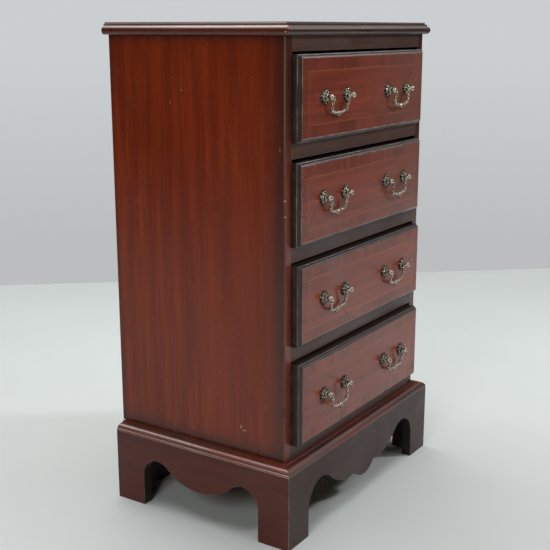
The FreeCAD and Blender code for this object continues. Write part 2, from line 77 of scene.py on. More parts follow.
# A bare mark: how ragged it is, and where it begins and ends its fading, in shares of its size.
RAGGED = 0.4
RAGGED_SCALE = 700.0
MARK_FULL, MARK_GONE = 0.4 + RAGGED / 2, 0.8 + RAGGED / 2

# How the rounded normal leans from the true one, as a cosine, on a flat and on an edge.
ON_FLAT, ON_EDGE = 0.995, 0.9


class Shader:
    """A material in the making. Its methods add a node and give back the node's output."""

    def __init__(self, name):
        self.material = bpy.data.materials.new(name)
        self.material.use_nodes = True
        self.tree = self.material.node_tree
        self.surface = self.tree.nodes["Principled BSDF"]
        self.place = self.add("ShaderNodeTexCoord").outputs["Object"]

    def add(self, kind, inputs=None, **settings):
        """A new node of a kind, with its settings made and its inputs set or linked."""
        node = self.tree.nodes.new(kind)
        for name, setting in settings.items():
            setattr(node, name, setting)
        for socket, given in (inputs or {}).items():
            if isinstance(given, bpy.types.NodeSocket):
                self.tree.links.new(given, node.inputs[socket])
            else:
                node.inputs[socket].default_value = given
        return node

    def set(self, **inputs):
        """Set or link sockets of the shader, named with underscores for spaces."""
        for name, given in inputs.items():
            socket = self.surface.inputs[name.replace("_", " ")]
            if isinstance(given, bpy.types.NodeSocket):
                self.tree.links.new(given, socket)
            else:
                socket.default_value = given

    def sum(self, operation, *values):
        """One arithmetic node, such as sum("ADD", a, b)."""
        inputs = dict(enumerate(values))
        return self.add("ShaderNodeMath", inputs, operation=operation).outputs[0]

    def fade(self, value, start, end, low=0.0, high=1.0):
        """value mapped smoothly from start..end on to low..high, and held outside it."""
        inputs = {"Value": value, "From Min": start, "From Max": end, "To Min": low,
                  "To Max": high}
        node = self.add("ShaderNodeMapRange", inputs, interpolation_type="SMOOTHSTEP")
        return node.outputs["Result"]

    def blend(self, share, first, second, mode="MIX"):
        """Two colours mixed."""
        node = self.add("ShaderNodeMix", {0: share, 6: first, 7: second}, data_type="RGBA",
                        blend_type=mode)
        return node.outputs[2]

    def stretched(self, scale, offset=(0, 0, 0)):
        """Object coordinates scaled and moved."""
        inputs = {"Vector": self.place, "Scale": scale, "Location": offset}
        return self.add("ShaderNodeMapping", inputs).outputs["Vector"]

    def noise(self, coordinates, scale, detail=3.0, roughness=0.55, distortion=0.0):
        """Soft noise, 0 to 1."""
        inputs = {"Vector": coordinates, "Scale": scale, "Detail": detail,
                  "Roughness": roughness, "Distortion": distortion}
        return self.add("ShaderNodeTexNoise", inputs).outputs["Fac"]

    def axes(self):
        """The three object coordinates."""
        node = self.add("ShaderNodeSeparateXYZ", {"Vector": self.place})
        return node.outputs["X"], node.outputs["Y"], node.outputs["Z"]

    def spots(self, places):
        """A mask of ragged marks, each (centre, (width, depth, height), strength)."""
        wobble = self.sum("MULTIPLY", self.noise(self.place, RAGGED_SCALE), RAGGED)
        mask = None
        for centre, size, strength in places:
            away = self.add("ShaderNodeVectorMath", {0: self.place, 1: centre},
                            operation="SUBTRACT").outputs[0]
            away = self.add("ShaderNodeVectorMath", {0: away, 1: size},
                            operation="DIVIDE").outputs[0]
            length = self.add("ShaderNodeVectorMath", {0: away}, operation="LENGTH")
            far = self.sum("ADD", length.outputs["Value"], wobble)
            mark = self.fade(far, MARK_FULL, MARK_GONE, strength, 0.0)
            mask = mark if mask is None else self.sum("MAXIMUM", mask, mark)
        return mask

    def bump(self, height, strength, distance):
        """A normal that follows a height."""
        inputs = {"Height": height, "Strength": strength, "Distance": distance}
        return self.add("ShaderNodeBump", inputs).outputs["Normal"]

    def edges(self, width):
        """1 on the sharp edges of a piece and 0 on its flats."""
        rounded = self.add("ShaderNodeBevel", {"Radius": width}, samples=6).outputs[0]
        normal = self.add("ShaderNodeNewGeometry").outputs["Normal"]
        dot = self.add("ShaderNodeVectorMath", {0: rounded, 1: normal},
                       operation="DOT_PRODUCT").outputs["Value"]
        return self.fade(dot, ON_FLAT, ON_EDGE)


# ---------------------------------------------------------------- wood

# How far each texture is drawn out, for grain that runs along each axis.
ALONG = {"X": (0.05, 1.0, 1.0), "Y": (1.0, 0.05, 1.0), "Z": (1.0, 1.0, 0.05)}

# The figure of the wood, as noise scales.
RIBBON_SCALE, STREAK_SCALE, PORE_SCALE = 48.0, 190.0, 1500.0

# The noise levels between which each part of the figure fades in, and how strong it gets.
RIBBONS = (0.34, 0.66)
LIGHT_STREAKS, LIGHTEST = (0.5, 0.75), 0.5
DARK_STREAKS, DARKEST = (0.5, 0.3), 0.35
PORES, PORE_DARKNESS = (0.62, 0.7), 0.5


def grain(shader, axis, tones, offset=(0, 0, 0)):
    """Wood colour with soft ribbons, fine streaks and pores, and where the pores are.

    tones are the dark, middle and light colours of the wood.
    """
    dark, middle, light = tones
    long = shader.stretched(ALONG[axis], offset)
    ribbons = shader.noise(long, RIBBON_SCALE, detail=3.0, distortion=0.3)
    streaks = shader.noise(long, STREAK_SCALE, detail=4.0, roughness=0.6)
    thin = tuple(share if share == 1.0 else share / 3 for share in ALONG[axis])
    pores = shader.noise(shader.stretched(thin, offset), PORE_SCALE, detail=2.0)
    colour = shader.blend(shader.fade(ribbons, *RIBBONS), dark, middle)
    colour = shader.blend(shader.fade(streaks, *LIGHT_STREAKS, high=LIGHTEST), colour, light)
    colour = shader.blend(shader.fade(streaks, *DARK_STREAKS, high=DARKEST), colour, dark)
    pore = shader.fade(pores, *PORES)
    shaded = shader.sum("MULTIPLY", pore, PORE_DARKNESS)
    return shader.blend(shaded, colour, dark, mode="MULTIPLY"), pore


# Noise levels between which any slow, cloudy change takes place.
CLOUDY = (0.3, 0.7)

SMEAR_SCALE = 9.0
SMOOTHER, ROUGHER = 0.8, 1.25
COAT_ROUGHNESS = 0.12

# The strength and depth of the relief in polished wood, in raw wood and in cast brass.
POLISHED_RELIEF = (0.05, 0.2 * MM)
RAW_RELIEF = (0.4, 0.3 * MM)
CAST_RELIEF = (0.45, 0.6 * MM)


def polished(shader, colour, pore, roughness, coat, specular):
    """French polish: unevenly glossy, and sunk a little into the pores."""
    smear = shader.noise(shader.place, SMEAR_SCALE, detail=5.0, roughness=0.7)
    shader.set(
        Base_Color=colour,
        Roughness=shader.fade(smear, *CLOUDY, roughness * SMOOTHER, roughness * ROUGHER),
        Specular_IOR_Level=specular,
        Coat_Weight=coat,
        Coat_Roughness=COAT_ROUGHNESS,
        Normal=shader.bump(shader.sum("SUBTRACT", 1.0, pore), *POLISHED_RELIEF),
    )
    return shader.material


# Woods: the dark, middle and light colours of each.
MAHOGANY = (srgb(104, 33, 9), srgb(126, 44, 12), srgb(146, 60, 17))
DARK_MAHOGANY = (srgb(50, 28, 22), srgb(66, 39, 31), srgb(88, 56, 44))
RAIL_MAHOGANY = (srgb(60, 31, 22), srgb(82, 45, 32), srgb(104, 61, 44))
RED_MAHOGANY = (srgb(64, 22, 15), srgb(86, 32, 20), srgb(108, 46, 30))
PLINTH_SIDE = (srgb(76, 29, 19), srgb(84, 33, 22), srgb(96, 41, 29))
PLINTH_FRONT = (srgb(56, 33, 27), srgb(62, 37, 30), srgb(70, 44, 36))
WORN_MAHOGANY = (srgb(80, 42, 31), srgb(100, 58, 45), srgb(128, 82, 68))
HIDDEN_MAHOGANY = (srgb(38, 27, 21), srgb(52, 37, 29), srgb(66, 48, 38))
# Painted light: the lighter red of the left stile low down.
LIT_STILE_MAHOGANY = (srgb(98, 42, 28), srgb(120, 54, 36), srgb(142, 72, 50))
VENEER = (srgb(117, 46, 29), srgb(137, 57, 36), srgb(155, 74, 47))
BANDING = (srgb(106, 42, 27), srgb(130, 53, 34), srgb(150, 68, 42))
EBONISED = (srgb(42, 33, 29), srgb(58, 45, 39), srgb(78, 62, 53))
PINE = (srgb(128, 92, 56), srgb(164, 126, 82), srgb(190, 154, 108))

RED_PATCH = srgb(104, 42, 32)
STRINGING = srgb(186, 124, 80)
GRIME = srgb(104, 76, 50)
# Old wax haze on the rails, and painted reflection on the drawer fronts.
DUST_AND_REFLECTION = srgb(132, 112, 104)
BARE_WOOD = srgb(214, 182, 160)
# Rubbed wear and painted highlight on edges.
WEAR_AND_HIGHLIGHT_PALE = srgb(158, 138, 128)
# Brighter rubbed wear and painted highlight on the top's and base moulding's edges.
BRIGHT = srgb(226, 210, 200)
# Dark cut wood and painted shade on the inner faces of the bracket boards.
CUT_WOOD_AND_SHADE = srgb(27, 21, 18)

# Bare chips and scratches: the centre, the (width, depth, height) in metres and the strength.
SIDE_CHIPS = [
    ((LEFT, FRONT, 0.5195), (0.0030, 0.0050, 0.0012), 1.0),
    ((LEFT, FRONT, 0.4970), (0.0030, 0.0040, 0.0012), 0.9),
    ((LEFT, -0.135, 0.5897), (0.0010, 0.0012, 0.0060), 0.25),
    ((LEFT, 0.035, 0.6649), (0.0010, 0.0050, 0.0009), 0.3),
    ((LEFT, 0.056, 0.6470), (0.0010, 0.0012, 0.0050), 0.25),
    ((LEFT, -0.066, 0.1690), (0.0010, 0.0016, 0.0050), 0.6),
    ((LEFT, -0.072, 0.1640), (0.0010, 0.0060, 0.0013), 0.6),
]
TOP_CHIPS = [
    ((-0.2215, -0.1525, 0.7560), (0.0045, 0.0045, 0.0022), 1.0),
    ((-0.2195, -0.1500, 0.7470), (0.0030, 0.0030, 0.0022), 0.9),
]
RAIL_CHIPS = [
    ((-0.1061, FRONT, 0.7210), (0.0022, 0.0030, 0.0014), 0.8),
    ((0.0825, FRONT, 0.7210), (0.0016, 0.0030, 0.0012), 0.7),
]
BASE_CHIPS = [
    ((0.0320, PLINTH_FRONT_FACE, 0.0988), (0.0022, 0.0010, 0.0014), 0.8),
    ((-0.2315, PLINTH_FRONT_FACE + 0.0006, 0.1185), (0.0030, 0.0030, 0.0030), 0.7),
]

# Dark dents in the left side's front edge, given in the same way.
SIDE_DENTS = [
    ((LEFT, FRONT + 0.0020, 0.2095), (0.0050, 0.0050, 0.0120), 0.8),
    ((LEFT, FRONT + 0.0030, 0.2020), (0.0050, 0.0080, 0.0022), 0.9),
]

# Pale edges, partly rubbed wear and partly painted highlight: their width, and the scale and
# levels of their patches.
EDGE_WIDTH = 1.2 * MM
EDGE_PATCH_SCALE, EDGE_PATCH_LEVELS = 60.0, (0.38, 0.66)


def worn_and_highlit_edges(shader, colour, least, most):
    """The colour with its edges made pale, partly rubbed wear and partly painted highlight, more
    in some places than in others.
    """
    edge_patches = shader.noise(shader.place, EDGE_PATCH_SCALE, detail=4.0)
    edge_wear_and_highlight = shader.sum("MULTIPLY", shader.edges(EDGE_WIDTH), shader.fade(edge_patches, *EDGE_PATCH_LEVELS, least, most))
    return shader.blend(edge_wear_and_highlight, colour, WEAR_AND_HIGHLIGHT_PALE)


def worn_and_highlit_lines(shader, colour, coordinate, lines, strength, pale=WEAR_AND_HIGHLIGHT_PALE):
    """The colour made pale along lines, each (its place on the coordinate, half its width), for
    rubbed wear and painted highlights.
    """
    for middle, half_width in lines:
        away = shader.sum("ABSOLUTE", shader.sum("SUBTRACT", coordinate, middle))
        line = shader.fade(away, half_width / 2, half_width, 1.0, 0.0)
        colour = shader.blend(shader.sum("MULTIPLY", line, strength), colour, pale)
    return colour


WAX_SCALE, THINNEST_WAX = 5.0, 0.4


def mahogany(name, tones, roughness, coat, specular, haze=0.0, chips=()):
    """Polished mahogany along X, with pale edges of wear and painted highlight, hazed by old wax,
    with bare chips.
    """
    shader = Shader(name)
    colour, pore = grain(shader, "X", tones)
    film = shader.noise(shader.place, WAX_SCALE, detail=4.0)
    film = shader.fade(film, *CLOUDY, THINNEST_WAX, 1.0)
    colour = shader.blend(shader.sum("MULTIPLY", film, haze), colour, DUST_AND_REFLECTION)
    colour = worn_and_highlit_edges(shader, colour, 0.075, 0.5)
    if chips:
        colour = shader.blend(shader.spots(chips), colour, BARE_WOOD)
    return polished(shader, colour, pore, roughness, coat, specular)


GRIME_SCALE, GRIMY, GRIMIEST = 14.0, (0.45, 0.75), 0.45


def plain_wood(name, axis):
    """Unpolished pine, for what the front doesn't show."""
    shader = Shader(name)
    colour, pore = grain(shader, axis, PINE)
    grime = shader.noise(shader.place, GRIME_SCALE, detail=5.0, roughness=0.7)
    colour = shader.blend(shader.fade(grime, *GRIMY, high=GRIMIEST), colour, GRIME)
    shader.set(Base_Color=colour, Roughness=0.78,
               Normal=shader.bump(shader.sum("SUBTRACT", 1.0, pore), *RAW_RELIEF))
    return shader.material


def from_edges(shader, *edges):
    """How far a point lies inside the nearest of some edges, each (coordinate, low, high)."""
    nearest = None
    for coordinate, low, high in edges:
        middle = (low + high) / 2
        away = shader.sum("ABSOLUTE", shader.sum("SUBTRACT", coordinate, middle))
        inside = shader.sum("SUBTRACT", (high - low) / 2, away)
        nearest = inside if nearest is None else shader.sum("MINIMUM", nearest, inside)
    return nearest


MOULDING = 5.2 * MM
BANDING_WIDTH = 17 * MM
STRING_WIDTH = 1.6 * MM

# The softness of a line between two woods.
LINE = 0.3 * MM

# Where a drawer front's moulding is made pale by rubbed wear and painted highlight: how far in
# from its edge, and half the width.
MOULDING_WEAR_AND_HIGHLIGHT = [(0.9 * MM, 0.8 * MM), (5.3 * MM, 1.0 * MM)]
MOULDING_PATCH_SCALE, MOULDING_PATCH_LEVELS, LEAST_OF_PATCH = 45.0, (0.3, 0.65), 0.1

# Each front is cut from wood this much further along.
NEXT_CUT = 0.37

# The depth of the veneer's filled pores, as a share of those of bare boards.
VENEER_PORES = 0.5

# Each drawer front's string, the wear and painted highlight of its moulding, and the painted
# reflection on its right, 0 to 1.
STRING = {1: 0.24, 2: 0.28, 3: 0.24, 4: 0.06}
WEAR_AND_HIGHLIGHT_BY_DRAWER = {1: 0.8, 2: 0.75, 3: 0.4, 4: 0.35}
PAINTED_REFLECTION = {1: 0.3, 2: 0.3, 3: 0.0, 4: 0.0}


def drawer_front(n):
    """Veneer inside a crossbanded border with a faint string, and an ebonised moulding with pale
    lines of wear and painted highlight, and a painted reflection towards the right.
    """
    shader = Shader(f"drawer_{n}_veneer")
    low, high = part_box(f"drawer_{n}_front")
    across, _, up = shader.axes()
    sideways = from_edges(shader, (across, low.x, high.x))
    upright = from_edges(shader, (up, low.z, high.z))
    inset = shader.sum("MINIMUM", sideways, upright)
    on_end = shader.fade(shader.sum("SUBTRACT", upright, sideways), -LINE, LINE)
    offset = (0, 0, NEXT_CUT * n)
    field, field_pores = grain(shader, "X", VENEER, offset)
    standing, standing_pores = grain(shader, "Z", BANDING, offset)
    lying, lying_pores = grain(shader, "X", BANDING, offset)
    banding = shader.blend(on_end, standing, lying)
    band_pores = shader.sum("MAXIMUM", standing_pores, lying_pores)
    edge = MOULDING + BANDING_WIDTH
    inside = shader.fade(inset, edge, edge + LINE)
    colour = shader.blend(inside, banding, field)
    string = shader.sum("MULTIPLY", inside, shader.fade(
        inset, edge + STRING_WIDTH, edge + STRING_WIDTH + LINE, STRING[n], 0.0))
    colour = shader.blend(string, colour, STRINGING)
    # Painted reflection: a pale haze growing towards the right of the front.
    painted_reflection = shader.fade(across, low.x / 2, high.x, 0.0, PAINTED_REFLECTION[n])
    colour = shader.blend(painted_reflection, colour, DUST_AND_REFLECTION)
    ebony, _ = grain(shader, "X", EBONISED, offset)
    colour = shader.blend(shader.fade(inset, MOULDING, MOULDING + LINE, 1.0, 0.0), colour, ebony)
    # Rubbed wear and painted highlight on the moulding.
    patches = shader.noise(shader.place, MOULDING_PATCH_SCALE, detail=5.0)
    wear_and_highlight_share = shader.fade(patches, *MOULDING_PATCH_LEVELS, LEAST_OF_PATCH * WEAR_AND_HIGHLIGHT_BY_DRAWER[n], WEAR_AND_HIGHLIGHT_BY_DRAWER[n])
    colour = worn_and_highlit_lines(shader, colour, inset, MOULDING_WEAR_AND_HIGHLIGHT, wear_and_highlight_share)
    pore = shader.sum("MULTIPLY", shader.sum("MAXIMUM", field_pores, band_pores), VENEER_PORES)
    return polished(shader, colour, pore, roughness=0.32, coat=0.2, specular=0.42)


# The painted shade along the margins of a side: how far from its edge each begins, signed along
# +Y or +Z, and how dark it gets.
FRONT_SHADE, BACK_SHADE = (48 * MM, 0.75), (-14 * MM, 0.5)
FOOT_SHADE, HEAD_SHADE = (30 * MM, 0.7), (-14 * MM, 0.6)

# The left stile turns from its dark stain to a lighter red, painted light, down between these
# heights.
STILE_UNLIT, STILE_LIT = 0.68, 0.5

# The painted highlight just behind a stile's face: how far behind, and half its width. Between the
# two heights its strength rises from the first share to the second.
STILE_HIGHLIGHT_LINE = (1.6 * MM, 1.4 * MM)
STILE_HIGHLIGHT_RISE = (0.45, 0.64, 0.08, 0.32)


def side_wood():
    """The sides: mahogany with painted shade along their margins, and stained stiles on their
    front edges, the left one given painted light low down and a painted highlight.
    """
    shader = Shader("side_mahogany")
    low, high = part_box("side_panel_left")
    across, deep, up = shader.axes()
    colour, pore = grain(shader, "Z", MAHOGANY)
    # Painted shade darkens each margin of a side.
    for along, edge, (inwards, most) in (
            (deep, low.y, FRONT_SHADE), (deep, high.y, BACK_SHADE),
            (up, low.z, FOOT_SHADE), (up, high.z, HEAD_SHADE)):
        painted_shade = shader.fade(along, edge + inwards, edge, 0.0, most)
        colour = shader.blend(painted_shade, colour, DARK_MAHOGANY[0])
    # Painted light: the left stile is lighter and redder low down.
    red, _ = grain(shader, "Z", LIT_STILE_MAHOGANY)
    dark, _ = grain(shader, "Z", RAIL_MAHOGANY)
    on_left = shader.fade(across, LINE, -LINE)
    painted_light = shader.sum("MULTIPLY", on_left, shader.fade(up, STILE_UNLIT, STILE_LIT))
    stile = shader.fade(deep, low.y + LINE, low.y + 2 * LINE, 1.0, 0.0)
    colour = shader.blend(stile, colour, shader.blend(painted_light, dark, red))
    colour = worn_and_highlit_edges(shader, colour, 0.05, 0.35)
    # A painted highlight along the rounded front corner of a stile.
    behind, half_width = STILE_HIGHLIGHT_LINE
    colour = worn_and_highlit_lines(shader, colour, deep, [(low.y + behind, half_width)],
                          shader.fade(up, *STILE_HIGHLIGHT_RISE))
    colour = shader.blend(shader.spots(SIDE_DENTS), colour, DARK_MAHOGANY[0])
    colour = shader.blend(shader.spots(SIDE_CHIPS), colour, BARE_WOOD)
    return polished(shader, colour, pore, roughness=0.24, coat=0.08, specular=0.35)


# Where the edges of the top and of the base moulding are made bright by rubbed wear and painted
# highlight: height and half width.
TOP_LINES = [(TOP - 1.4 * MM, 1.1 * MM), (TOP - 5.6 * MM, 1.4 * MM)]
BASE_LINES = [(PLINTH_TOP + 0.5 * MM, 0.6 * MM), (PLINTH_TOP + 3.1 * MM, 0.6 * MM),
              (PLINTH_TOP + 8.2 * MM, 0.8 * MM)]

# How far in the top's dark stain reaches.
STAIN = 7 * MM

# How strongly the top's moulded edge is made bright by rubbed wear and painted highlight, at the
# front and at the left end, and how much of that is left at the back; the stronger left end is
# painted highlight.
FRONT_WEAR_AND_HIGHLIGHT, END_WEAR_AND_HIGHLIGHT, BACK_SHARE = 0.25, 0.95, 0.6


def top_wood():
    """The top: mahogany, stained darker on its moulded edge, with bright lines of wear and painted
    highlight along it, and a bruised front corner.
    """
    shader = Shader("top_mahogany")
    low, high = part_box("top_board")
    across, deep, up = shader.axes()
    # The back edge isn't moulded, so the distance is taken in a board twice as deep.
    inset = from_edges(shader, (across, low.x, high.x), (deep, low.y, 2 * high.y - low.y))
    field, pore = grain(shader, "X", MAHOGANY)
    dark, _ = grain(shader, "X", DARK_MAHOGANY)
    red, _ = grain(shader, "Y", RED_MAHOGANY)
    inside_end = shader.fade(across, low.x + STAIN, low.x + STAIN + MM)
    stained = shader.blend(inside_end, red, dark)
    colour = shader.blend(shader.fade(inset, STAIN, STAIN + 1.5 * MM), stained, field)
    # Bright lines of wear and painted highlight, strongest on the left end.
    on_end = shader.fade(across, low.x + STAIN + MM, low.x + STAIN, FRONT_WEAR_AND_HIGHLIGHT, END_WEAR_AND_HIGHLIGHT)
    on_edge = shader.fade(inset, STAIN + 2 * MM, STAIN + MM)
    from_back = shader.fade(deep, high.y, low.y, BACK_SHARE, 1.0)
    wear_and_highlight_share = shader.sum("MULTIPLY", shader.sum("MULTIPLY", on_end, on_edge), from_back)
    colour = worn_and_highlit_lines(shader, colour, up, TOP_LINES, wear_and_highlight_share, BRIGHT)
    colour = shader.blend(shader.spots(TOP_CHIPS), colour, BARE_WOOD)
    return polished(shader, colour, pore, roughness=0.3, coat=0.15, specular=0.4)


# How far inside its face a bracket board turns nearly black, for dark cut wood and painted shade,
# and where it is darkest.
CUT_AND_SHADE_FROM, CUT_AND_SHADE_FULL = 1.1 * MM, 1.6 * MM


def plinth_wood(name, axis, tones):
    """A bracket board: smooth and worn outside, and nearly black on its cut and inner faces,
    partly dark cut wood and partly painted shade.
    """
    shader = Shader(name)
    low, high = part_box("plinth_front")
    across, deep, _ = shader.axes()
    inset = shader.sum("MINIMUM", from_edges(shader, (across, low.x, high.x)),
                       shader.sum("SUBTRACT", deep, low.y))
    colour, pore = grain(shader, axis, tones)
    colour = worn_and_highlit_edges(shader, colour, 0.1, 0.8)
    colour = shader.blend(shader.spots(BASE_CHIPS), colour, BARE_WOOD)
    # Painted shade, with dark cut wood, on the cut and inner faces.
    colour = shader.blend(shader.fade(inset, CUT_AND_SHADE_FROM, CUT_AND_SHADE_FULL), colour, CUT_WOOD_AND_SHADE)
    return polished(shader, colour, pore, roughness=0.42, coat=0.05, specular=0.32)


PATCH_SCALE, PATCHED = 80.0, (0.46, 0.6)

# The moulding's bright lines of wear and painted highlight are fainter where its patches are
# strong, and fainter away from the front corner.
BASE_PATCH_LEVELS = (0.6, 0.4, 0.35, 1.0)
CORNER_REACH = 200 * MM


def moulding_wood(name, axis, tones, patch, least, most):
    """The base moulding, worn through its stain in patches, with bright lines of rubbed wear and
    painted highlight on its edges.
    """
    shader = Shader(name)
    low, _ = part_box("base_moulding_front")
    _, deep, up = shader.axes()
    colour, pore = grain(shader, axis, tones)
    patches = shader.noise(shader.stretched(ALONG[axis]), PATCH_SCALE, detail=5.0, roughness=0.65)
    colour = shader.blend(shader.fade(patches, *PATCHED), colour, patch)
    # Bright lines of wear and painted highlight, strongest near the front corner.
    near_corner = shader.fade(deep, low.y + CORNER_REACH, low.y, least, most)
    wear_and_highlight_share = shader.sum("MULTIPLY", near_corner, shader.fade(patches, *BASE_PATCH_LEVELS))
    colour = worn_and_highlit_lines(shader, colour, up, BASE_LINES, wear_and_highlight_share, BRIGHT)
    return polished(shader, colour, pore, roughness=0.36, coat=0.1, specular=0.35)


# ---------------------------------------------------------------- brass

TARNISH = srgb(17, 20, 13)
BRASS = srgb(246, 234, 210)
TARNISH_SCALE, TARNISH_SHARE = 420.0, 0.14

# How pointed the surface is where it is all tarnished and where it is rubbed bright.
HOLLOW_TO_HIGH = (0.545, 0.64)


def old_brass(name):
    """Cast brass gone brown-green in its hollows and rubbed bright on its high places."""
    shader = Shader(name)
    pointed = shader.add("ShaderNodeNewGeometry").outputs["Pointiness"]
    patches = shader.noise(shader.place, TARNISH_SCALE, detail=4.0, roughness=0.65)
    high = shader.sum("ADD", pointed, shader.sum("MULTIPLY", patches, TARNISH_SHARE))
    shader.set(
        Base_Color=shader.blend(shader.fade(high, *HOLLOW_TO_HIGH), TARNISH, BRASS),
        Metallic=0.95,
        Roughness=shader.fade(high, *HOLLOW_TO_HIGH, 0.5, 0.25),
        Normal=shader.bump(patches, *CAST_RELIEF),
    )
    return shader.material


# ---------------------------------------------------------------- cast handle pieces

PIVOT_OUT = 11 * MM
POST_SPACING = 63 * MM

# Points round a rosette, and round the thinner pieces.
AROUND = 60
AROUND_POST = AROUND // 2
AROUND_BAIL = AROUND // 3

# How many degrees the left and right bails of each drawer lean in towards its face.
LEAN = {1: (15, 7), 2: (14, 5), 3: (15, 15), 4: (0, 15)}


def ring(points):
    """The angles of evenly spread points round a circle."""
    return np.arange(points) * 2 * math.pi / points


def grid_faces(rows, columns):
    """Quads of a grid that closes on itself along its columns."""
    return [(i * columns + j, i * columns + (j + 1) % columns,
             (i + 1) * columns + (j + 1) % columns, (i + 1) * columns + j)
            for i in range(rows - 1) for j in range(columns)]


def piece(name, parts, body, replaced, material):
    """One object of several (points in mm, faces, place, lean) parts, smooth, on a body."""
    points, faces = [], []
    for part_points, part_faces, centre, lean in parts:
        faces += [tuple(len(points) + corner for corner in face) for face in part_faces]
        turn = Matrix.Rotation(math.radians(lean), 3, "X")
        points += [centre + turn @ Vector(point) * MM for point in part_points]
    mesh = bpy.data.meshes.new(name)
    mesh.from_pydata(points, [], faces)
    mesh.shade_smooth()
    obj = bpy.data.objects.new(name, mesh)
    bpy.context.scene.collection.objects.link(obj)
    obj.modifiers.new("smooth", "SUBSURF").render_levels = 1
    mesh.materials.append(material)
    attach(obj, body)
    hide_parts(replaced)


# A rosette from its bore to its rim: share of the way out, height, and how much higher the
# petals stand than the gaps between them.
ROSETTE = [
    (0.00, 5.2, 0.0), (0.18, 5.2, 0.0), (0.26, 4.5, 0.0), (0.30, 2.7, 0.0), (0.36, 1.3, 0.0),
    (0.45, 1.4, 0.5), (0.58, 2.2, 1.2), (0.72, 2.4, 1.4), (0.83, 1.5, 0.9), (0.89, 2.2, 0.9),
    (0.95, 2.0, 0.9), (0.99, 1.2, 0.4), (1.0, 0.6, 0.1), (1.0, 0.0, 0.0),
]
PETALS = 10
BORE = 2.55
RIM_BETWEEN_PETALS, PETAL_REACH = 10.1, 0.85


def rosette():
    """A cast back plate: a collar, and petals round it. It faces -Y, and is in mm."""
    angles = ring(AROUND)
    petal = 0.5 + 0.5 * np.cos(PETALS * angles)
    rim = RIM_BETWEEN_PETALS + PETAL_REACH * petal
    points = []
    for share, out, relief in ROSETTE:
        radius = BORE + (rim - BORE) * share
        points += [(r * math.cos(a), -out - relief * p, r * math.sin(a))
                   for r, a, p in zip(radius, angles, petal)]
    return points, grid_faces(len(ROSETTE), AROUND)


# A post from its tail behind the drawer front to its ball: radius and how far it stands out.
POST = [
    (0.01, -28.9), (2.3, -28.9), (2.5, -28.5), (2.5, 4.0), (2.5, 5.1), (4.2, 5.2), (4.6, 5.5),
    (4.6, 6.0), (3.9, 6.3), (3.3, 6.6), (3.1, 7.0), (3.3, 7.5), (3.9, 8.6), (4.25, 9.8),
    (4.3, 11.0), (4.15, 12.3), (3.5, 13.6), (2.6, 14.3), (2.3, 14.6), (1.6, 15.1), (0.01, 15.25),
]


def post():
    """A turned handle post, about Y."""
    points = [(radius * math.cos(a), -out, radius * math.sin(a))
              for radius, out in POST for a in ring(AROUND_POST)]
    return points, grid_faces(len(POST), AROUND_POST)


# The middle line of a bail, in mm and degrees: the bend at its pin, half its width, how far its
# arms drop, its lower corner, the sag between the corners and the slope where they meet.
BEND, HALF_WIDTH, ARM_DROP, CORNER, SAG, SLOPE = 2.5, 22.0, 17.0, 5.0, 25.0, 12.5
PIN_END = 35.3


def bail_path():
    """Points down the middle of the right half of a bail, from its lowest point to its pin."""
    slope = math.radians(SLOPE)
    path = []

    def arc(centre_x, centre_z, radius, start, end, steps):
        for angle in np.radians(np.linspace(start, end, steps)):
            path.append((centre_x + radius * math.cos(angle), centre_z + radius * math.sin(angle)))

    def run(end_x, end_z, steps):
        x, z = path[-1]
        for share in np.linspace(0, 1, steps)[1:-1]:
            path.append((x + (end_x - x) * share, z + (end_z - z) * share))

    corner_down = ARM_DROP + CORNER * math.cos(slope)
    corner_in = HALF_WIDTH - CORNER + CORNER * math.sin(slope)
    sag_in = SAG * math.sin(slope)
    sag_down = corner_down + (corner_in - sag_in) * math.tan(slope)
    arc(0, SAG * math.cos(slope) - sag_down, SAG, -90, SLOPE - 90, 8)
    run(corner_in, -corner_down, 18)
    arc(HALF_WIDTH - CORNER, -ARM_DROP, CORNER, SLOPE - 90, 0, 12)
    run(HALF_WIDTH, -BEND, 22)
    arc(HALF_WIDTH + BEND, -BEND, BEND, 180, 90, 6)
    run(PIN_END, 0.0, 7)
    path.append((PIN_END, 0.0))
    return np.array(path)


# Swellings of the bail along its half length: place from the middle, height and spread, in mm.
SWELLINGS = [
    (0.0, 1.7, 3.4), (5.4, 0.9, 0.6), (8.6, 0.3, 1.0), (13.0, 0.6, 1.8), (18.0, 0.9, 0.6),
    (21.8, 1.1, 2.0), (25.6, 0.9, 0.6), (29.0, 0.4, 1.1), (32.4, 0.6, 1.3), (36.0, 0.4, 1.1),
    (39.6, 0.8, 0.6),
]
BAIL_RADIUS = 1.7

# The plain pin at each end: its radius, where it begins, and over what length.
PIN_RADIUS, PIN_FROM, PIN_EASE = 1.98, 24.5, 0.8

# The twisted rod: its ridges, their height as a share, and the radians it turns in 1 mm.
RIDGES, TWIST, TWIST_PER_MM = 3, 0.16, 1.1


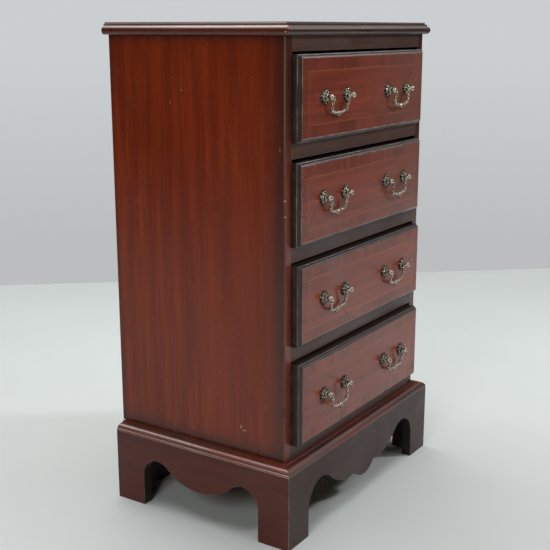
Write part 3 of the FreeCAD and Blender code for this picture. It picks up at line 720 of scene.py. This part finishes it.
def bail():
    """A cast swan-neck bail: a twisted rod with knuckles, rings and a leaf in the middle."""
    right = bail_path()
    path = np.vstack([right[:0:-1] * (-1, 1), right])
    steps = np.linalg.norm(np.diff(path, axis=0), axis=1)
    along = np.concatenate([[0], np.cumsum(steps)])
    along -= along[-1] / 2
    tangents = np.gradient(path, axis=0)
    tangents /= np.linalg.norm(tangents, axis=1)[:, None]
    points = []
    for (x, z), place, (tx, tz) in zip(path, along, tangents):
        swell = sum(height * math.exp(-((abs(place) - where) / spread) ** 2)
                    for where, height, spread in SWELLINGS)
        pin = min(max((abs(x) - PIN_FROM) / PIN_EASE, 0.0), 1.0)
        radius = (BAIL_RADIUS + swell) * (1 - pin) + PIN_RADIUS * pin
        for a in ring(AROUND_BAIL):
            ridge = math.cos(RIDGES * a + TWIST_PER_MM * place)
            r = radius * (1 + TWIST * (1 - pin) * ridge)
            points.append((x - tz * r * math.cos(a), -r * math.sin(a), z + tx * r * math.cos(a)))
    first_end = tuple(range(AROUND_BAIL))[::-1]
    last_end = tuple(range(len(points) - AROUND_BAIL, len(points)))
    return points, grid_faces(len(path), AROUND_BAIL) + [first_end, last_end]


# The drop under the middle of a bail: its radius and how far below the pins it is, in mm.
DROP = [(0.01, 26.4), (1.6, 26.6), (2.6, 27.5), (1.5, 28.5), (1.9, 29.3), (1.7, 30.1),
        (0.9, 30.7), (0.01, 30.9)]


def finial():
    """The small drop under the middle of a bail."""
    points = [(radius * math.cos(a), radius * math.sin(a), -down)
              for radius, down in DROP for a in ring(AROUND_BAIL)]
    return points, grid_faces(len(DROP), AROUND_BAIL)


def build_handles(brass):
    """The cast pieces of all the handles, each on the body of the CAD piece it stands for."""
    joints = {joint["name"]: joint for joint in frame["joints"]}
    for n in DRAWERS:
        places = []
        for side, lean in zip(("left", "right"), LEAN[n]):
            pivot = Vector(joints[f"bail_{n}_{side}_swing"]["pos_m"])
            field = pivot + Vector((0, PIVOT_OUT, 0))
            places += [field - Vector((POST_SPACING / 2, 0, 0)),
                       field + Vector((POST_SPACING / 2, 0, 0))]
            piece(f"cast_bail_{n}_{side}", [(*bail(), pivot, lean), (*finial(), pivot, lean)],
                  f"bail_{n}_{side}", f"bail_{n}_{side}", brass)
        piece(f"cast_rosettes_{n}", [(*rosette(), place, 0) for place in places], f"drawer_{n}",
              f"rosettes_{n}", brass)
        piece(f"cast_posts_{n}", [(*post(), place, 0) for place in places], f"drawer_{n}",
              f"handle_posts_{n}", brass)


# ---------------------------------------------------------------- dressing the CAD nodes

# How far sharp edges are eased: boards, mouldings, drawer fronts, rough hidden wood and nuts.
BOARD_EASE, MOULDING_EASE, FRONT_EASE = 0.8 * MM, 0.6 * MM, 0.4 * MM
ROUGH_EASE, NUT_EASE = 0.5 * MM, 0.3 * MM
SAME_POINT = 0.01 * MM
SHARP = math.radians(35)


def dress(node, material, ease=0.0):
    """Give a CAD node its material and ease its sharp edges."""
    obj = frame["nodes"][node]
    obj.data.materials.clear()
    obj.data.materials.append(material)
    if ease:
        obj.modifiers.new("weld", "WELD").merge_threshold = SAME_POINT
        bevel = obj.modifiers.new("ease", "BEVEL")
        bevel.width = ease
        bevel.segments = 3
        bevel.limit_method = "ANGLE"
        bevel.angle_limit = SHARP
        obj.modifiers.new("even", "WEIGHTED_NORMAL").keep_sharp = True


def dress_all():
    """Every visible piece of the chest gets its material."""
    side = side_wood()
    rail = mahogany("rail_mahogany", RAIL_MAHOGANY, roughness=0.42, coat=0.1, specular=0.5,
                    haze=0.12, chips=RAIL_CHIPS)
    along = plinth_wood("plinth_mahogany_x", "X", PLINTH_FRONT)
    deep = plinth_wood("plinth_mahogany_y", "Y", PLINTH_SIDE)
    moulded_x = moulding_wood("base_moulding_x", "X", DARK_MAHOGANY, RED_PATCH, 0.1, 0.1)
    moulded_y = moulding_wood("base_moulding_y", "Y", WORN_MAHOGANY, RED_MAHOGANY[2], 0.5, 1.0)
    hidden = mahogany("hidden_mahogany", HIDDEN_MAHOGANY, roughness=0.7, coat=0.0, specular=0.3)
    for node in ("top_rail", "divider_rail_1", "divider_rail_2", "divider_rail_3", "bottom_rail"):
        dress(node, rail)
    dress("top_board", top_wood(), BOARD_EASE)
    dress("base_moulding_front", moulded_x, MOULDING_EASE)
    dress("plinth_front", along, BOARD_EASE)
    for hand in ("left", "right"):
        dress(f"side_panel_{hand}", side, BOARD_EASE)
        dress(f"base_moulding_{hand}", moulded_y, MOULDING_EASE)
        dress(f"plinth_{hand}", deep, BOARD_EASE)
    for node in ("plinth_back", "base_back_rail", "glue_blocks"):
        dress(node, hidden, ROUGH_EASE)
    pine = {axis: plain_wood(f"pine_{axis.lower()}", axis) for axis in "XYZ"}
    for node, axis in (("back_panel", "Z"), ("bottom_board", "X"), ("drawer_runners", "Y")):
        dress(node, pine[axis], ROUGH_EASE)
    brass = old_brass("old_brass")
    for n in DRAWERS:
        dress(f"drawer_{n}_front", drawer_front(n), FRONT_EASE)
        for part, axis in (("side_left", "Y"), ("side_right", "Y"), ("back", "X"),
                           ("bottom", "X")):
            dress(f"drawer_{n}_{part}", pine[axis])
        dress(f"handle_nuts_{n}", brass, NUT_EASE)
    build_handles(brass)


# ---------------------------------------------------------------- studio

CAMERA_AT = Vector((-1.3522, FRONT - 0.73275, 0.7519))
CAMERA_YAW = math.radians(56.68)
CAMERA_DOWN = math.radians(13.96)
LENS = 65.1


def make_camera():
    """The camera, level from side to side, that looks down at the left front corner."""
    data = bpy.data.cameras.new("camera")
    data.lens = LENS
    camera = bpy.data.objects.new("camera", data)
    bpy.context.scene.collection.objects.link(camera)
    level = Vector((math.sin(CAMERA_YAW), math.cos(CAMERA_YAW), 0)) * math.cos(CAMERA_DOWN)
    ahead = level - Vector((0, 0, math.sin(CAMERA_DOWN)))
    camera.location = CAMERA_AT
    camera.rotation_euler = ahead.to_track_quat("-Z", "Y").to_euler()
    bpy.context.scene.camera = camera


# How far the floor reaches behind the chest and the other ways, and how far it is turned from
# the camera's view.
FLOOR_BEHIND = 1.38
FLOOR_SKEW = math.radians(7.4)
FLOOR_REACH = 3.4
FLOOR_TONES = (srgb(208, 214, 212), srgb(217, 223, 221))
FLOOR_CLOUD_SCALE = 3.0


def make_floor():
    """A pale floor that ends behind the chest, nearly square to the camera's view."""
    turned = CAMERA_YAW - FLOOR_SKEW
    ahead = Vector((math.sin(turned), math.cos(turned), 0))
    across = Vector((ahead.y, -ahead.x, 0))
    corners = [ahead * near + across * aside
               for near, aside in ((FLOOR_BEHIND, -FLOOR_REACH), (-FLOOR_REACH, -FLOOR_REACH),
                                   (-FLOOR_REACH, FLOOR_REACH), (FLOOR_BEHIND, FLOOR_REACH))]
    mesh = bpy.data.meshes.new("floor")
    mesh.from_pydata(corners, [], [(0, 1, 2, 3)])
    floor = bpy.data.objects.new("floor", mesh)
    bpy.context.scene.collection.objects.link(floor)
    shader = Shader("pale_floor")
    cloud = shader.noise(shader.place, FLOOR_CLOUD_SCALE, detail=4.0)
    shader.set(Base_Color=shader.blend(cloud, *FLOOR_TONES), Roughness=0.55)
    mesh.materials.append(shader.material)


ROOM = srgb(150, 152, 155)
ROOM_STRENGTH = 0.16

# The wall's colour low down and high up, darker low down as painted shade, and the slopes of view
# between which it changes.
WALL_LOW = srgb(187, 189, 190)
WALL_HIGH = srgb(203, 206, 208)
WALL_FROM, WALL_TO = -0.2, -0.03


def make_room():
    """A dim room for reflections, and behind the chest a pale wall that only the camera sees, with
    painted shade low down.
    """
    world = bpy.data.worlds.new("room")
    world.use_nodes = True
    bpy.context.scene.world = world
    tree = world.node_tree
    dim = tree.nodes["Background"]
    dim.inputs["Color"].default_value = ROOM
    dim.inputs["Strength"].default_value = ROOM_STRENGTH
    direction = tree.nodes.new("ShaderNodeSeparateXYZ")
    tree.links.new(tree.nodes.new("ShaderNodeTexCoord").outputs["Generated"], direction.inputs[0])
    rise = tree.nodes.new("ShaderNodeMapRange")
    tree.links.new(direction.outputs["Z"], rise.inputs["Value"])
    rise.inputs["From Min"].default_value = WALL_FROM
    rise.inputs["From Max"].default_value = WALL_TO
    tint = tree.nodes.new("ShaderNodeMix")
    tint.data_type = "RGBA"
    tree.links.new(rise.outputs["Result"], tint.inputs[0])
    tint.inputs[6].default_value = WALL_LOW
    tint.inputs[7].default_value = WALL_HIGH
    wall = tree.nodes.new("ShaderNodeBackground")
    tree.links.new(tint.outputs[2], wall.inputs["Color"])
    mix = tree.nodes.new("ShaderNodeMixShader")
    path = tree.nodes.new("ShaderNodeLightPath")
    tree.links.new(path.outputs["Is Camera Ray"], mix.inputs[0])
    tree.links.new(dim.outputs[0], mix.inputs[1])
    tree.links.new(wall.outputs[0], mix.inputs[2])
    tree.links.new(mix.outputs[0], tree.nodes["World Output"].inputs["Surface"])


# The square or oblong lights, all turned to the chest: name, place, size and power.
LIGHTS = [
    ("overhead", (0.1, 0.5, 2.8), (3.0, 3.0), 70),
    ("behind", (0.0, 1.6, 2.75), (1.4, 0.5), 14),
    ("ceiling", (0.6, -2.2, 2.9), (1.1, 1.1), 12),
    ("key", (2.0, -2.4, 2.4), (0.4, 0.4), 42),
    ("window", (3.0, -0.9, 2.5), (1.2, 1.2), 9),
    ("fill", (-2.6, -0.6, 1.6), (1.0, 1.0), 24),
]
LIT_PLACE = Vector((0, 0, 0.4))


def make_lights():
    """Soft lights over and round the chest."""
    bpy.context.scene.view_settings.view_transform = "Standard"
    for name, at, size, power in LIGHTS:
        data = bpy.data.lights.new(name, "AREA")
        data.shape = "RECTANGLE"
        data.size, data.size_y = size
        data.energy = power
        light = bpy.data.objects.new(name, data)
        light.location = at
        light.rotation_euler = (LIT_PLACE - Vector(at)).to_track_quat("-Z", "Y").to_euler()
        bpy.context.scene.collection.objects.link(light)


dress_all()
make_floor()
make_room()
make_lights()
make_camera()
